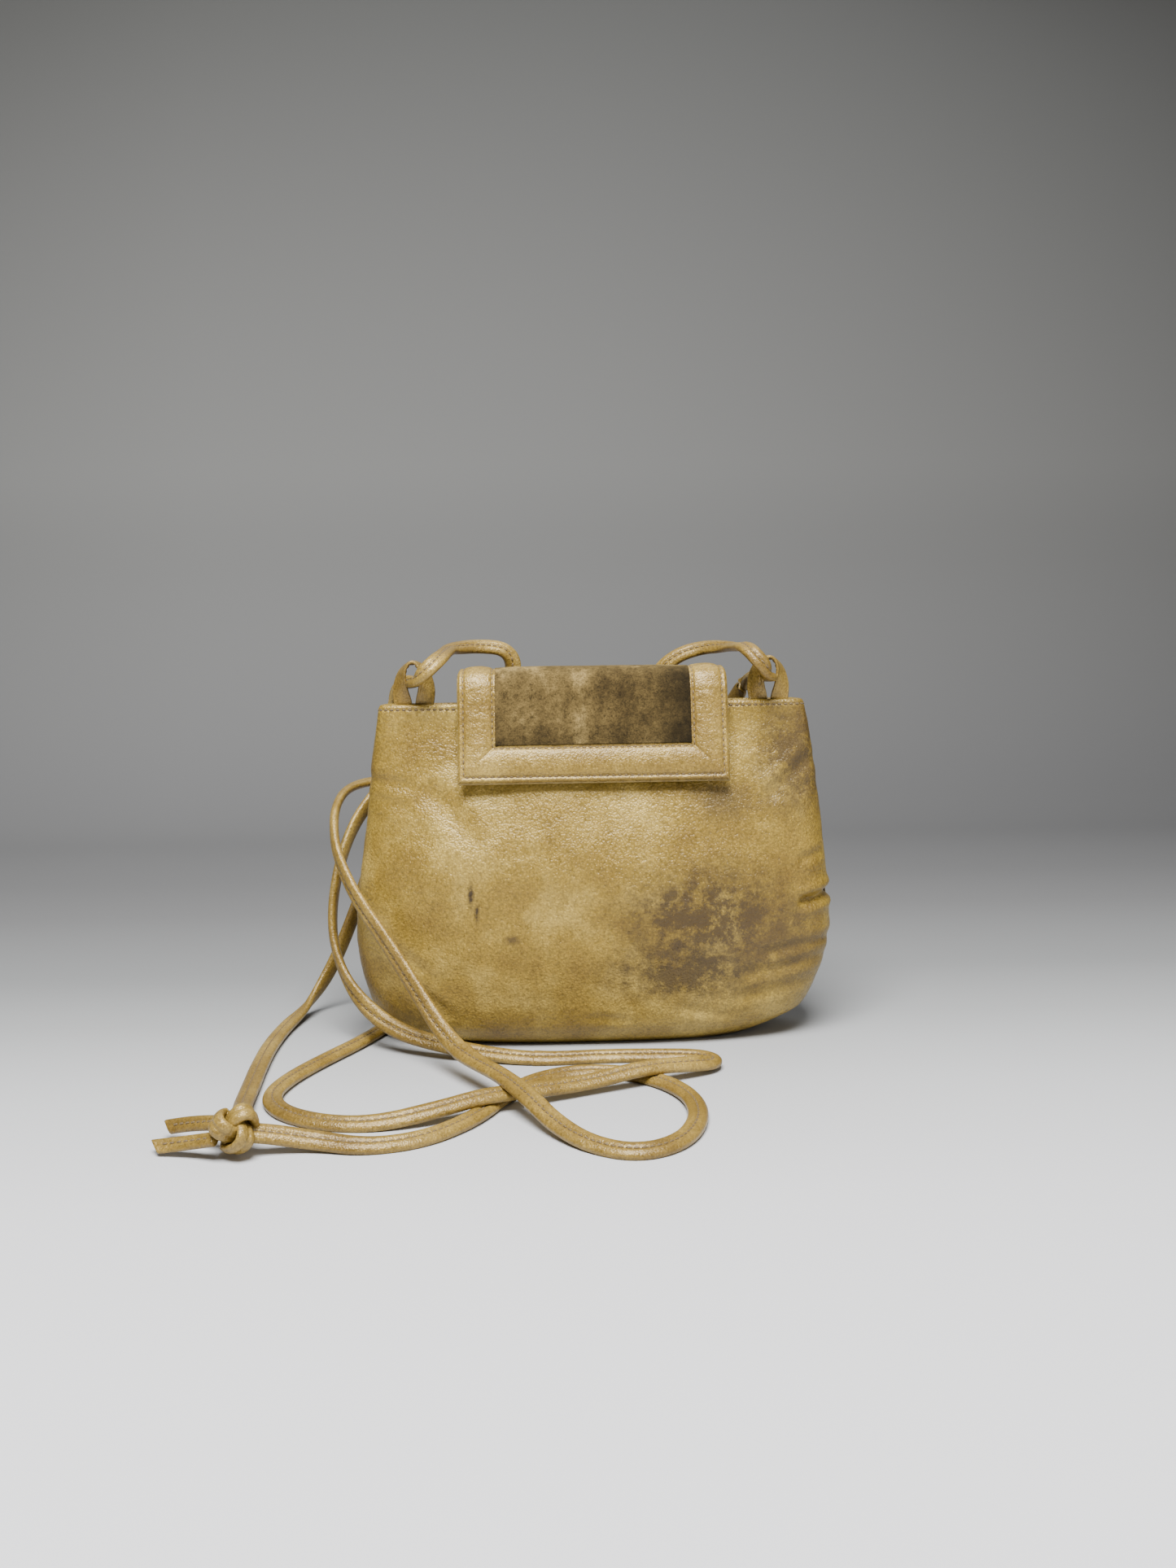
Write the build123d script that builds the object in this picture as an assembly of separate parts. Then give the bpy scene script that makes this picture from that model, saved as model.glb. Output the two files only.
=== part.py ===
"""Soft leather bucket bag with a framed suede flap and a long knotted strap.

Millimetres, +Z up. The origin is the middle of the base on the floor. +X is to the
right as the bag is seen from the front, and the front faces -Y.
"""
import os
from math import radians, tan

from build123d import *

# The pouch, outside
rim_height = 172.0
rim_half_width = 108.5
rim_half_depth = 15.0
belly_half_width = 123.0
belly_half_depth = 40.0
belly_height = 58.0
base_half_width = 90.0
base_half_depth = 28.0
base_panel_turn = 3.4

# Leather, board and cloth
panel_leather = 1.3
stiffener_cloth = 0.9
facing_leather = 1.2
lining_cloth = 0.8
base_board_thickness = 1.6
board_gap = 0.5
layer_gap = 0.1
seam_gap = 0.2
facing_height = 30.0
rim_turn = 0.6

# The slip pocket on the back lining
pocket_half_width = 55.0
pocket_drop = 54.0
pocket_height = 60.0
pocket_room = 8.0

# The flap
flap_half_width = 67.0
flap_border = 19.0
flap_drop = 39.0
flap_rise = 18.0
flap_stand_off = 3.6
flap_lining_leather = 0.8
flap_core_foam = 1.6
flap_outer_leather = 1.6
flap_suede = 1.3
flap_edge_fold = 1.0
flap_lining_start = 0.02
hinge_set_back = 3.4
hinge_lift = 2.4
hinge_inside = 1.6
arch_back_run = 10.0
arch_front_run = 1.5
arch_corner = 4.5
shoulder_lift = 4.0
shoulder_slack = 0.4
hinge_end_gap = 1.4
fold_gap = 0.6
tab_half_width = 60.0
tab_height = 24.0
tab_leather = 1.6
tab_clearance = 0.4

# How far the cutting boxes reach past the pieces that they cut
far = 300.0
margin = 30.0

# The magnetic snap under the flap
snap_radius = 7.0
snap_socket_height = 1.7
snap_face_gap = 0.6
snap_bore_radius = 2.2
snap_nub_radius = 1.9
snap_nub_height = 1.2
snap_drop = 21.0
snap_washer_radius = 8.0
snap_washer_thickness = 0.6
snap_clearance = 0.3
seat_gap = 0.05
bore_floor = 0.3
washer_gap = 0.25

# The strap and its loops
strap_thickness = 5.0
loop_half_spacing = 90.0
loop_eye_rise = 11.0
loop_eye_radius = 4.2
loop_leather = 3.0
loop_depth = 6.0
loop_foot = 1.0
loop_tab_half_width = 9.0
loop_tab_length = 15.0
loop_tab_leather = 1.6
loop_tab_clearance = 1.3
knot_radius = 10.5
knot_middle = (-147.0, -170.0)
tail_thickness = 4.4
corner_share = 0.45

# The sizes that the strap's routes are drawn for, which fitted() carries to the sizes above
drawn_rim_height = 172.0
drawn_belly_half_width = 123.0
drawn_belly_half_depth = 40.0
drawn_loop_half_spacing = 90.0
drawn_strap_thickness = 5.0
drawn_hump = 10.5
drawn_fall = 60.0

# The front run comes out of the left loop, dips behind the flap, falls on the left of
# the bag, folds back along the floor and climbs behind the bag to the right loop.
strap_middle_route = [
    (-90, -9, 183), (-90, -26, 184.5), (-82, -32, 191), (-75, -16, 196), (-73, 4, 199),
    (-70, 23, 202), (-58, 34, 203), (-43, 36, 200), (-41, 37, 191), (-50, 38, 182),
    (-66, 41, 168), (-86, 44, 151), (-105, 43, 135), (-119, 35, 120), (-128, 22, 106), (-134, 9, 86),
    (-137, 3, 64), (-135, -4, 46), (-127, -14, 30), (-115, -26, 19), (-99, -37, 11),
    (-80, -45, 7), (-58, -52, 4), (-31, -60, 2.5), (0, -57, 2.5), (26, -58, 2.5),
    (44, -61, 2.5), (54, -67, 3), (52, -77, 4.5), (38, -85, 6.5), (17, -94, 8),
    (-8, -104, 5), (-30, -114, 6), (-52, -126, 8), (-74, -137, 5.5), (-98, -143, 2.5),
    (-121, -139, 2.5), (-140, -125, 2.5), (-149, -104, 2.5), (-145, -80, 2.5),
    (-134, -53, 2.5), (-120, -24, 2.5), (-110, 5, 2.5), (-102, 32, 3), (-84, 56, 7),
    (-56, 67, 21), (-26, 70, 45), (1, 67, 76), (19, 59, 110), (28, 49, 141),
    (33, 42, 168), (37, 40, 187), (47, 38, 198), (60, 34, 203), (71, 22, 203),
    (75, 4, 201), (80, -14, 199), (87, -31, 193), (91, -28, 181.5), (90, -9, 183),
]

# The left run goes back over the rim from the left loop and round to the knot.
strap_left_route = [
    (-90, -9, 183), (-90, 2, 182), (-98, 13, 184), (-105, 24, 176), (-107, 30, 153),
    (-106, 31, 126), (-119, 46, 90), (-132, 55, 56), (-146, 53, 23), (-158, 38, 5),
    (-164, 8, 2.5), (-165, -27, 2.5), (-163, -60, 2.5), (-160, -92, 2.5),
    (-157, -121, 3.5), (-151, -145, 8), (-148, -161, 11),
]

# The right run goes back over the rim from the right loop, across behind the bag,
# over its left shoulder to the floor, round the front loop and back to the knot.
strap_right_route = [
    (90, -9, 183), (89.3, 4, 184), (84, 18, 184), (79, 28, 172), (70, 43, 156),
    (50, 56, 143), (15, 64, 134), (-30, 65, 129), (-74, 62, 128), (-109, 54, 129),
    (-130, 34, 128), (-135, 10, 119), (-133, -7, 103), (-127, -18, 89),
    (-118, -29, 75), (-103, -44, 56), (-89, -53, 37), (-78, -63, 19), (-68, -76, 8),
    (-57, -92, 8), (-45, -112, 13), (-34, -134, 12), (-22, -155, 5), (-8, -172, 2.5),
    (10, -182, 2.5), (28, -171, 2.5), (38, -146, 2.5), (38, -120, 2.5),
    (29, -99, 2.5), (12, -83, 2.5), (-12, -79, 2.5), (-33, -91, 2.5),
    (-46, -114, 2.5), (-57, -140, 2.5), (-75, -161, 2.5), (-97, -168, 2.5),
    (-118, -163, 4), (-139, -165, 8),
]

upper_tail_route = [(-154, -163, 12), (-168, -152, 9), (-182, -147, 5)]
lower_tail_route = [(-155, -172, 9), (-168, -165, 5), (-183, -163, 3)]

# How round the pouch's ends are, as a share of its half depth
end_roundness = 0.93

# The pouch swells from base to belly: share of the belly's height, and of the gain in
# half width and in half depth. Then it narrows to the rim in the same way.
swell = [(0.0, 0.0, 0.0), (0.17, 0.52, 0.62), (0.52, 0.88, 0.95), (1.0, 1.0, 1.0)]
shoulder_height_share = 0.62
shoulder_width_share = 0.34
shoulder_depth_share = 0.30

pouch_sections = []
for height_share, width_share, depth_share in swell:
    pouch_sections.append((
        height_share * belly_height,
        base_half_width + width_share * (belly_half_width - base_half_width),
        base_half_depth + depth_share * (belly_half_depth - base_half_depth),
    ))
pouch_sections.append((
    shoulder_height_share * rim_height,
    belly_half_width - shoulder_width_share * (belly_half_width - rim_half_width),
    belly_half_depth - shoulder_depth_share * (belly_half_depth - rim_half_depth),
))
pouch_sections.append((rim_height, rim_half_width, rim_half_depth))

# Heights that follow from the sizes above
fold_height = rim_height
flap_bottom = rim_height - flap_drop
flap_crest = rim_height + flap_rise
snap_height = rim_height - snap_drop
loop_eye_height = rim_height + loop_eye_rise
pocket_top = rim_height - pocket_drop
pocket_bottom = pocket_top - pocket_height
snap_stud_height = flap_stand_off - snap_socket_height - snap_face_gap


def pouch(inset):
    """The pouch's outer shape, drawn in (or out, when negative) all round by inset."""
    outlines = []
    for height, half_width, half_depth in pouch_sections:
        depth = half_depth - inset
        outline = RectangleRounded(2 * (half_width - inset), 2 * depth, end_roundness * depth)
        outlines.append(Pos(0, 0, height) * outline)
    return Solid.make_loft([outline.wire() for outline in outlines])


def slab(half_width, y_low, y_high, z_low, z_high):
    """A box that is centred on X, for cutting pieces to their place."""
    size = Box(2 * half_width, y_high - y_low, z_high - z_low)
    return Pos(0, (y_low + y_high) / 2, (z_low + z_high) / 2) * size


def layer(outer_inset, inner_inset, piece):
    """The part of one layer of the pouch's wall that lies in a box."""
    return (pouch(outer_inset) & piece) - pouch(inner_inset)


def save(shape, name):
    export_step(shape, "parts/" + name + ".step")


def front_box(z_low, z_high):
    return slab(far, -far, -seam_gap / 2, z_low, z_high)


def back_box(z_low, z_high):
    return slab(far, seam_gap / 2, far, z_low, z_high)


# Layers of the wall, as distances in from the outer face
stiffener_outer = panel_leather + layer_gap
stiffener_inner = stiffener_outer + stiffener_cloth
facing_outer = stiffener_inner + layer_gap
facing_inner = facing_outer + facing_leather
lining_outer = panel_leather + layer_gap
lining_inner = lining_outer + lining_cloth
facing_bottom = rim_height - facing_height
lining_top = facing_bottom - seam_gap
panel_bottom = base_panel_turn + seam_gap


def wall_pieces():
    """The leather panels and the base, with the linings behind them."""
    for name, box in (("front", front_box), ("back", back_box)):
        save(layer(0, panel_leather, box(panel_bottom, rim_height)), name + "_panel")
        lining = layer(lining_outer, lining_inner, box(panel_bottom, lining_top))
        save(lining, name + "_lining")
        band = box(facing_bottom, rim_height - rim_turn)
        save(layer(facing_outer, facing_inner, band), name + "_facing")
        stiffener = layer(stiffener_outer, stiffener_inner, band)
        if name == "front":
            washer_room = snap_washer_radius + snap_clearance
            stiffener -= snap_disc(washer_room, panel_plane, -2 * facing_inner, 0)
        save(stiffener, name + "_rim_stiffener")


def base_pieces():
    """The base panel is a shallow tray, with a board and a lining laid in it."""
    board_bottom = panel_leather + layer_gap
    board_top = board_bottom + base_board_thickness
    lining_bottom = board_top + layer_gap
    lining_top_face = lining_bottom + lining_cloth
    tray = pouch(0) & slab(far, -far, far, 0, base_panel_turn)
    tray -= pouch(panel_leather) & slab(far, -far, far, panel_leather, rim_height)
    save(tray, "base_panel")
    board = pouch(panel_leather + board_gap) & slab(far, -far, far, board_bottom, board_top)
    save(board, "base_board")
    inside = slab(far, -far, far, lining_bottom, lining_top_face)
    save(pouch(lining_inner + layer_gap) & inside, "base_lining")


def pocket():
    """A slip pocket that stands a little open in front of the back lining."""
    outer = lining_inner + layer_gap
    face = outer + pocket_room
    block = slab(pocket_half_width, 0, far, pocket_bottom, pocket_top)
    room_half_width = pocket_half_width - lining_cloth
    room = slab(room_half_width, 0, far, pocket_bottom + lining_cloth, rim_height)
    return layer(outer, face + lining_cloth, block) - layer(0, face, room)


def panel_face(height):
    """How far in front of the middle the front panel's face is, at mid width."""
    probe = pouch(0) & slab(1, -far, 0, height - 0.5, height + 0.5)
    return -probe.bounding_box().min.Y


def snap_disc(radius, face, start, end):
    """A disc at the snap's place, from start to end outward from a plane."""
    return extrude(face.offset(start) * Circle(radius), end - start)


panel_rise = panel_face(snap_height - snap_radius) - panel_face(snap_height + snap_radius)
panel_plane = Plane(
    origin=(0, -panel_face(snap_height), snap_height),
    x_dir=(1, 0, 0),
    z_dir=(0, -2 * snap_radius, panel_rise),
)


# The flap's inner outline, seen from the side: up from the hinge, over and down
hinge_y = rim_half_depth + hinge_set_back
hinge_z = rim_height + hinge_lift
flap_thickness = 2 * layer_gap + flap_lining_leather + flap_core_foam + flap_outer_leather
inner_crest = flap_crest - flap_thickness
front_top_y = -(rim_half_depth + flap_stand_off - shoulder_slack)
shoulder_z = rim_height + shoulder_lift
front_bottom_y = -(panel_face(flap_bottom) + flap_stand_off)


def flap_region(distance):
    """The region under the flap, grown by distance, as a face seen along X."""
    points = [
        (hinge_y - hinge_inside, flap_bottom - margin),
        (hinge_y - hinge_inside, hinge_z),
        (hinge_y - arch_back_run, inner_crest),
        (front_top_y + arch_front_run, inner_crest),
        (front_top_y, shoulder_z),
        (front_bottom_y, flap_bottom),
        (front_bottom_y, flap_bottom - margin),
    ]
    face = make_face(Polyline(*points, close=True))
    corners = [v for v in face.vertices() if v.Y > hinge_z + 0.5]
    face = fillet(corners, arch_corner)
    return offset(face, distance, kind=Kind.ARC) if distance else face


def flap_layer(low, high, x_low, x_high):
    """One layer of the flap between two distances from its inner face."""
    face = flap_region(high) - flap_region(low)
    turned = Plane.YZ * face
    return Pos(x_low, 0, 0) * extrude(turned, x_high - x_low, dir=(1, 0, 0))


fold_slope = (front_bottom_y - front_top_y) / (shoulder_z - flap_bottom)
flap_plane = Plane(
    origin=(0, front_top_y + fold_slope * (shoulder_z - snap_height), snap_height),
    x_dir=(1, 0, 0),
    z_dir=(0, -1, -fold_slope),
)
fold_y = front_top_y + fold_slope * (shoulder_z - fold_height) - flap_thickness


def flap_top_piece(solid):
    """Keeps what lies between the back hinge and the front fold."""
    keep = slab(far, fold_y - margin, far, hinge_z + hinge_end_gap, far)
    below = slab(far, fold_y - margin, 0, 0, fold_height + fold_gap / 2)
    return (solid & keep) - below


def flap_front_piece(solid):
    """Keeps what hangs on the front, below the fold."""
    return solid & slab(far, -far, 0, flap_bottom, fold_height - fold_gap / 2)


outer_low = 2 * layer_gap + flap_lining_leather + flap_core_foam
core_low = layer_gap + flap_lining_leather
window_half_width = flap_half_width - flap_border
window_bottom = flap_bottom + flap_border


def flap_pieces():
    """The flap's lining, core, suede window and leather border, above and below the fold."""
    edge = flap_half_width
    window = window_half_width
    inset = edge - flap_edge_fold
    lining = flap_layer(flap_lining_start, flap_lining_leather, -inset, inset)
    core = flap_layer(core_low, core_low + flap_core_foam, -inset, inset)
    suede = flap_layer(outer_low, outer_low + flap_suede, -window + seam_gap, window - seam_gap)
    outer = flap_layer(outer_low, flap_thickness, -edge, edge)
    save(flap_top_piece(lining), "flap_top_lining")
    save(flap_top_piece(core), "flap_top_core")
    save(flap_top_piece(suede), "flap_top_suede")
    left = flap_layer(outer_low, flap_thickness, -edge, -window)
    save(flap_top_piece(left), "flap_top_border_left")
    right = flap_layer(outer_low, flap_thickness, window, edge)
    save(flap_top_piece(right), "flap_top_border_right")
    washer_room = snap_disc(snap_washer_radius + snap_clearance, flap_plane, 0, outer_low)
    save(flap_front_piece(lining), "flap_front_lining")
    save(flap_front_piece(core) - washer_room, "flap_front_core")
    above_edge = slab(far, -far, 0, window_bottom + seam_gap, rim_height)
    save(flap_front_piece(suede) & above_edge, "flap_front_suede")
    opening = slab(window, -far, 0, window_bottom, rim_height)
    save(flap_front_piece(outer) - opening, "flap_front_border")


def back_tab():
    """The flap's back edge, sewn to the outside of the back panel."""
    top = rim_height - rim_turn
    box = slab(tab_half_width, 0, far, top - tab_height, top)
    return layer(-tab_clearance - tab_leather, -tab_clearance, box)


def snap_pieces():
    """A socket on the front panel, a stud under the flap, and a washer behind each."""
    top = seat_gap + snap_socket_height
    socket = snap_disc(snap_radius, panel_plane, seat_gap, top)
    socket -= snap_disc(snap_bore_radius, panel_plane, seat_gap + bore_floor, top)
    save(socket, "snap_socket")
    washer_top = -panel_leather - washer_gap
    washer_bottom = washer_top - snap_washer_thickness
    washer = snap_disc(snap_washer_radius, panel_plane, washer_bottom, washer_top)
    save(washer, "snap_socket_washer")
    stud_bottom = -seat_gap - snap_stud_height
    stud = snap_disc(snap_radius, flap_plane, stud_bottom, -seat_gap)
    stud += snap_disc(snap_nub_radius, flap_plane, stud_bottom - snap_nub_height, -seat_gap)
    save(stud, "snap_stud")
    washer_bottom = core_low + seat_gap
    washer_top = washer_bottom + snap_washer_thickness
    washer = snap_disc(snap_washer_radius, flap_plane, washer_bottom, washer_top)
    save(washer, "snap_stud_washer")


def strap_loop(side):
    """A teardrop loop that stands on the rim, with its tab sewn inside the front facing."""
    tab_face = -(rim_half_depth - facing_inner - loop_tab_clearance)
    eye = Pos(0, loop_eye_height) * Circle(loop_eye_radius + loop_leather)
    foot = Pos(0, rim_height + loop_foot) * Rectangle(2 * loop_tab_half_width, loop_foot)
    outline = make_hull(eye.edges() + foot.edges())
    outline -= Pos(0, loop_eye_height) * Circle(loop_eye_radius)
    ring = extrude(Plane.XZ * outline, loop_depth / 2, both=True)
    ring = Pos(0, tab_face + loop_tab_leather / 2, 0) * ring
    tab = slab(
        loop_tab_half_width, tab_face, tab_face + loop_tab_leather,
        rim_height - loop_tab_length, rim_height + loop_foot,
    )
    return Pos(side * loop_half_spacing, 0, 0) * (ring + tab)


def tube(points, thickness, name):
    """A round tube along straight runs that are joined by arcs."""
    corners = [Vector(*point) for point in points]
    radii = []
    for before, here, after in zip(corners, corners[1:], corners[2:]):
        first = here - before
        second = after - here
        turn = radians(first.get_angle(second))
        shorter = min(first.length, second.length)
        radii.append(corner_share * shorter / tan(turn / 2))
    path = FilletPolyline(*corners, radius=radii)
    section = Plane(origin=path @ 0, z_dir=path % 0) * Circle(thickness / 2)
    solid = sweep(section, path=path)
    print(name, "length", round(path.length), "radii", [round(r) for r in radii])
    print(name, "volume share", round(solid.volume / (section.area * path.length), 4))
    return solid


def fitted(route):
    """A route's points, carried from the drawn sizes to the pouch's and strap's own."""
    drawn_lift = drawn_strap_thickness / 2
    thicker = strap_thickness / drawn_strap_thickness
    hump = drawn_hump * thicker
    climb = rim_height - strap_thickness / 2 - hump
    drawn_climb = drawn_rim_height - drawn_lift - drawn_hump
    points = []
    for x, y, z in route:
        above_floor = z - drawn_lift
        climbed = min(max(above_floor - drawn_hump, 0), drawn_climb)
        above_rim = max(z - drawn_rim_height, 0)
        low = min(max(above_floor, 0), drawn_hump) * thicker
        height = strap_thickness / 2 + low + climbed * climb / drawn_climb + above_rim
        fallen = min(max((drawn_rim_height - z) / drawn_fall, 0), 1)
        rim_wide = loop_half_spacing / drawn_loop_half_spacing
        belly_wide = belly_half_width / drawn_belly_half_width
        wide = rim_wide + fallen * (belly_wide - rim_wide)
        deep = 1 + fallen * (belly_half_depth / drawn_belly_half_depth - 1)
        points.append((x * wide, y * deep, height))
    return points


def strap_pieces():
    """Three stretches of strap, the knot and its two cut tails."""
    for name, route, thickness in (
        ("strap_middle", strap_middle_route, strap_thickness),
        ("strap_left_run", strap_left_route, strap_thickness),
        ("strap_right_run", strap_right_route, strap_thickness),
        ("strap_tail_upper", upper_tail_route, tail_thickness),
        ("strap_tail_lower", lower_tail_route, tail_thickness),
    ):
        save(tube(fitted(route), thickness, name), name)
    knot_x, knot_y, low = fitted([(*knot_middle, drawn_strap_thickness / 2)])[0]
    save(Pos(knot_x, knot_y, knot_radius) * Sphere(knot_radius), "strap_knot")


os.makedirs("parts", exist_ok=True)
wall_pieces()
base_pieces()
save(pocket(), "inner_pocket")
flap_pieces()
save(back_tab(), "flap_back_tab")
snap_pieces()
save(strap_loop(-1), "loop_left")
save(strap_loop(1), "loop_right")
strap_pieces()
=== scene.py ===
import math

import bmesh
import bpy
from mathutils import Matrix, Vector, noise


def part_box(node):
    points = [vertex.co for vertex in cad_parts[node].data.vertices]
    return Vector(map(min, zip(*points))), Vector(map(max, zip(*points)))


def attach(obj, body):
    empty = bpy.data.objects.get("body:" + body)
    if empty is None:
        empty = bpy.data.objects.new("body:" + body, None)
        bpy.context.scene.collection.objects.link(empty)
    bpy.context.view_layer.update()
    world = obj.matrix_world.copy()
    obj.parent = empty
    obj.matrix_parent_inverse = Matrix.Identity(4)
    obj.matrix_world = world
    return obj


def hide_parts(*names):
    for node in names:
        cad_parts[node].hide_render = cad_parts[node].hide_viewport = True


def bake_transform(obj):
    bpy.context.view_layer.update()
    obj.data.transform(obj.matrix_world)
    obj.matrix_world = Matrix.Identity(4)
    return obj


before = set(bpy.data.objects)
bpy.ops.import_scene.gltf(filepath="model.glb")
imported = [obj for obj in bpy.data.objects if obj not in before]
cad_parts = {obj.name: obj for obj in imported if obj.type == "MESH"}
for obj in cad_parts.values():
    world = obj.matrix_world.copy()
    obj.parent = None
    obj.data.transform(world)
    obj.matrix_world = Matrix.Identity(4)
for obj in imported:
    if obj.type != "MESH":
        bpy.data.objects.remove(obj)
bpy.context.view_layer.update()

mm = 0.001
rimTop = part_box("front_panel")[1].z / mm

# What a user may change, one dictionary for each piece. Lengths are in millimetres.

view = {"place": (-21.9, -665.2, 192.3), "pitch": 5.42, "turn": 1.68, "roll": -0.88, "lens": 29.66}

# The sweep's tones from its front edge to its top, as shares of its length; they are painted light and
# shade, bright at the front and darker towards the back and top
stage = {
    "tones": [
        (0.20, "#E2E2E4"), (0.276, "#CECED0"), (0.301, "#B9BABB"), (0.324, "#9B9C9C"), (0.345, "#848585"),
        (0.386, "#757575"), (0.416, "#717171"), (0.51, "#777777"), (0.60, "#828280"), (0.75, "#4A4A48"),
    ],
    "air": "#C8CACD",
    "airStrength": 0.2,
}

# Each light's place, the point it faces and its size, all in metres, then its power and tone
lights = {
    "keyAbove": ((-0.12, -0.68, 1.42), (0, 0, 0.08), (0.9, 0.7), 70, "#FFFFFF"),
    "fillRight": ((1.4, -0.9, 0.8), (0, 0, 0.08), (1.0, 1.0), 6, "#FFF9F0"),
    "backRim": ((0.2, 0.9, 1.3), (0, 0.1, 0.1), (1.4, 0.5), 4, "#F4F7FF"),
}

pouch = {
    "columns": 360,
    "rows": 220,
    "squareness": [(0, 2.9), (120, 2.9), (150, 4.2), (168, 7.0), (172, 7.0)],
    "leftWidths": [(0, 80), (5, 104), (12, 112), (26, 118.5), (58, 122.7), (100, 118), (140, 113),
                   (172, 108)],
    "rightWidths": [(0, 76), (4, 87), (8, 96), (14, 107), (26, 114), (40, 119.5), (58, 122.7),
                    (100, 119), (140, 114), (172, 108)],
    "depths": [(0, 25), (4, 31), (12, 36), (40, 39.6), (60, 39.4), (90, 36), (118, 29), (140, 22),
               (160, 16.2), (172, 14.8)],
    "bands": (0.08, 0.66, 0.88, 0.92),  # shares of the rows that end the base, wall, shoulder and rim
    "shoulder": 161,
    "clothSize": (560, 260),
    "rimRoll": 1.5,
    "facing": 30,
    "sag": 1.3,
    "crumple": 0.35,
    "stitchDrop": 2.6,
}

lining = {"inset": 2.3, "top": 147, "floor": 3.6, "pocketHalfWidth": 55, "pocketBottom": 58,
          "pocketTop": 118, "pocketRoom": 7.0, "thickness": 0.8, "middle": 0.15}

baseBoard = {"inset": 4, "low": 1.4, "high": 3.0}

# The flap's inner profile runs as (y, z) from the hinge, over the rim and down the front
flap = {
    "profile": [(16.8, 172), (16.5, 180), (12, 185.4), (4, 186.2), (-6, 186.4), (-14, 185.6), (-18, 181),
                (-19.8, 172), (-23.4, 154), (-28.3, 133)],
    "halfWidth": 67,
    "border": 19,
    "borderUnder": 1.0,
    "borderHeight": 3.0,
    "borderDome": 1.4,
    "seamIn": 2.6,
    "windowSeam": 2.2,
    "grooveDepth": 0.45,
    "lip": 0.8,
    "liningTop": 1.3,
    "suedeHeight": 2.35,
    "suedeThickness": 1.1,
    "foldStart": (0, -21.5, 179),
    "foldEnd": (0, -25.5, 165),
    "hingeStrip": [(20.9, 148), (18.6, 158), (17.4, 166), (18.4, 172), (20.6, 176), (21.0, 180),
                   (19.9, 184.4)],
    "hingeHalfWidth": 60,
    "hingeThickness": 1.4,
    "hingeStart": (0, 18, 168),
    "hingeEnd": (0, 19, 178.5),
}

loop = {
    "spacing": 90,
    "width": 9.4,
    "thickness": 1.7,
    "depth": -9.3,
    "seamIn": 1.3,
    "path": [(-4.9, 166), (-5.2, 172), (-7.0, 180), (-5.6, 189.5), (0, 194.5), (5.6, 189.5),
             (7.0, 180), (5.2, 172), (4.9, 166)],
}

# A strap's section: two padded lobes with a sewn groove between them
strap = {"halfWidth": 4.4, "halfThickness": 2.35, "groove": 0.9, "sides": 40, "spacing": 1.0,
         "lean": 0.35, "stitchLength": 2.5, "spliceLength": 18}

knot = {"middle": (-148, -169, 12.0), "scale": 2.6, "depth": 4.6, "facing": (0.3, -0.85, 0.45),
        "width": 0.98, "points": 260}

tail = {"scale": 0.76, "spacing": 0.5, "slant": 0.35}

# Folds on the front face: from and to as (x, z), then depth and half width
frontFolds = [
    ((110, 142), (90, 124), 1.5, 3.5),
    ((108, 130), (96, 121), 0.9, 3.0),
    ((-113, 134), (-92, 131), 0.8, 3.0),
    ((-110, 126), (-94, 121), 0.5, 3.0),
    ((-84, 130), (-64, 112), 0.8, 5.0),
    ((-76, 118), (-60, 104), 0.5, 4.5),
    ((124, 73), (104, 70), 3.0, 2.6),
    ((116, 94), (104, 91), 0.9, 2.4),
    ((122, 50), (84, 46), 1.1, 2.6),
    ((116, 42), (76, 36), 1.0, 3.0),
    ((108, 30), (70, 24), 1.0, 3.0),
    ((-4, 16), (14, 14), 0.5, 2.0),
    ((40, 20), (66, 14), 0.6, 2.4),
    ((-96, 34), (-74, 18), 1.0, 3.0),
    ((-104, 52), (-86, 40), 0.8, 3.0),
]

# The strap's routes, which are the CAD cords' own points
strapMiddleRoute = [
    (-90, -9, 183), (-89, -19, 183), (-82, -25, 189), (-75, -18, 196), (-74.5, 4, 198),
    (-73.5, 24, 200), (-60, 37.5, 201.5), (-44, 39, 200), (-39.5, 40, 189), (-47.5, 40, 179),
    (-66, 41, 168), (-86, 44, 151), (-105, 43, 135), (-119, 35, 120), (-128, 22, 106), (-134, 9, 86),
    (-137, 3, 64), (-135, -4, 46), (-127, -14, 30), (-115, -26, 19), (-99, -37, 11),
    (-80, -45, 7), (-58, -52, 4), (-31, -60, 2.5), (0, -57, 2.5), (26, -58, 2.5),
    (44.5, -60, 2.5), (53, -67, 3), (52, -77.5, 4.5), (38, -85, 6.5), (17, -94, 8),
    (-8, -104, 5), (-30, -114, 6), (-52, -126, 8), (-74, -137, 5.5), (-98, -143, 2.5),
    (-121, -139, 2.5), (-140, -125, 2.5), (-149, -104, 2.5), (-145, -80, 2.5),
    (-134, -53, 2.5), (-120, -24, 2.5), (-110, 5, 2.5), (-102, 32, 3), (-84, 56, 7),
    (-56, 67, 21), (-26, 70, 45), (1, 67, 76), (19, 59, 110), (28, 49, 141),
    (33, 42, 168), (37, 40, 185), (47, 38, 194.5), (61, 37, 199), (74, 24, 199),
    (76, 4, 198.5), (77, -18, 199), (83.5, -25.5, 191), (89.5, -20, 183), (90, -9, 183),
]
strapLeftRoute = [
    (-90, -9, 183), (-90, 2, 182), (-98, 13, 184), (-105, 24, 176), (-107, 30, 153),
    (-106, 31, 126), (-119, 46, 90), (-132, 55, 56), (-146, 53, 23), (-158, 38, 5),
    (-164, 8, 2.5), (-165, -27, 2.5), (-163, -60, 2.5), (-160, -92, 2.5),
    (-157, -121, 3.5), (-151, -145, 8), (-148, -161, 11),
]
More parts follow.
